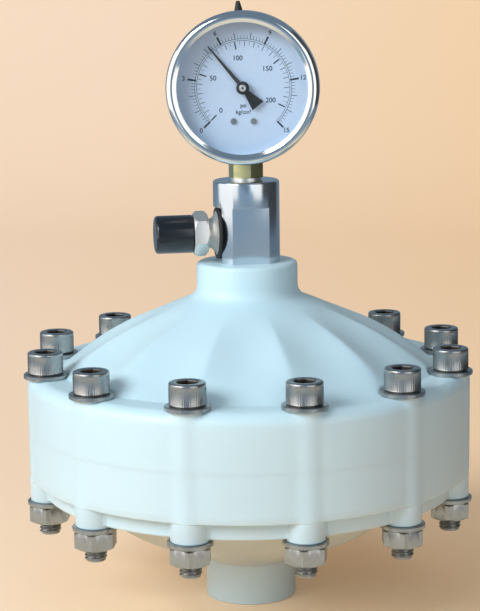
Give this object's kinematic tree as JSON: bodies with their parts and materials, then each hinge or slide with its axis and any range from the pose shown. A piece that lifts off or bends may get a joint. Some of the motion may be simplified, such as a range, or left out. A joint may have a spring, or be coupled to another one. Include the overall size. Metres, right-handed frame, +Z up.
{
  "type": "diaphragm pulsation dampener",
  "caption": "Round plastic pulsation dampener: two bolted ribbed halves round a diaphragm, with a threaded inlet below and a charging valve and dial gauge above.",
  "frame": {"origin": "centre of the lower face of the inlet boss", "axes": "+Z up along the axis of the housing, and the gauge looks along -Y"},
  "size_m": [0.2062, 0.206, 0.2775],
  "materials": {
    "housing": "satin, slightly translucent white",
    "rubber": "matt",
    "button": "matt white",
    "fastener_steel": "bright stainless",
    "block_steel": "turned and milled stainless",
    "valve_steel": "satin stainless",
    "cap_plastic": "glossy black",
    "brass": "turned",
    "seal_metal": "plain",
    "case_steel": "satin stainless",
    "bezel_steel": "polished stainless",
    "glass": "clear",
    "dial_white": "satin white",
    "pointer_black": "satin black",
    "spring_bronze": "plain"
  },
  "bodies": {
    "housing": {"upper_housing": "housing", "lower_housing": "housing", "diaphragm": "rubber", "socket_screws": "fastener_steel", "upper_washers": "fastener_steel", "lower_washers": "fastener_steel", "hex_nuts": "fastener_steel", "gauge_block": "block_steel", "block_seal_ring": "rubber", "valve_gasket": "rubber", "valve_body": "valve_steel", "valve_core": "brass", "gauge_socket": "brass", "seal_washer": "seal_metal", "gauge_case": "case_steel", "case_screws": "fastener_steel", "filler_plug": "rubber", "gauge_bezel": "bezel_steel", "window_gasket": "rubber", "gauge_window": "glass", "dial": "dial_white", "dial_screws": "pointer_black", "bourdon_tube": "spring_bronze", "movement_back_plate": "brass", "movement_front_plate": "brass", "movement_screws": "fastener_steel", "hairspring": "spring_bronze"},
    "button": {"diaphragm_button": "button"},
    "pointer": {"pointer": "pointer_black", "pinion_arbor": "brass"},
    "sector": {"sector_gear": "brass"},
    "link": {"movement_link": "brass"},
    "valve_pin": {"valve_pin": "valve_steel", "valve_spring": "valve_steel"},
    "valve_cap": {"valve_cap": "cap_plastic", "cap_seal": "rubber"}
  },
  "joints": [
    {"name": "diaphragm_stroke", "type": "slide", "parent": "housing", "child": "button", "axis": [0, 0, 1], "range_m": [-0.022, 0.01], "stiffness_N_per_m": 2000, "deforming": ["diaphragm"]},
    {"name": "pointer_sweep", "type": "hinge", "parent": "housing", "child": "pointer", "pos_m": [0, 0, 0.239], "axis": [0, 1, 0], "range_deg": [-95.2, 174.8]},
    {"name": "sector_swing", "type": "hinge", "parent": "housing", "child": "sector", "pos_m": [0.0084, 0, 0.22445], "axis": [0, 1, 0], "range_deg": [-29.3, 16]},
    {"name": "link_swing", "type": "hinge", "parent": "sector", "child": "link", "pos_m": [0.00995, 0, 0.21866], "axis": [0, 1, 0], "range_deg": [-16, 29.3]},
    {"name": "valve_pin_press", "type": "slide", "parent": "housing", "child": "valve_pin", "axis": [0.9736, 0.2284, 0], "range_m": [0, 0.0012], "stiffness_N_per_m": 400},
    {"name": "valve_cap_removal", "type": "slide", "parent": "housing", "child": "valve_cap", "axis": [-0.9736, -0.2284, 0], "range_m": [0, 0.025]}
  ],
  "couplings": [
    {"joint": "sector_swing", "follows": "pointer_sweep", "ratio": -0.16667},
    {"joint": "link_swing", "follows": "pointer_sweep", "ratio": 0.16667}
  ]
}
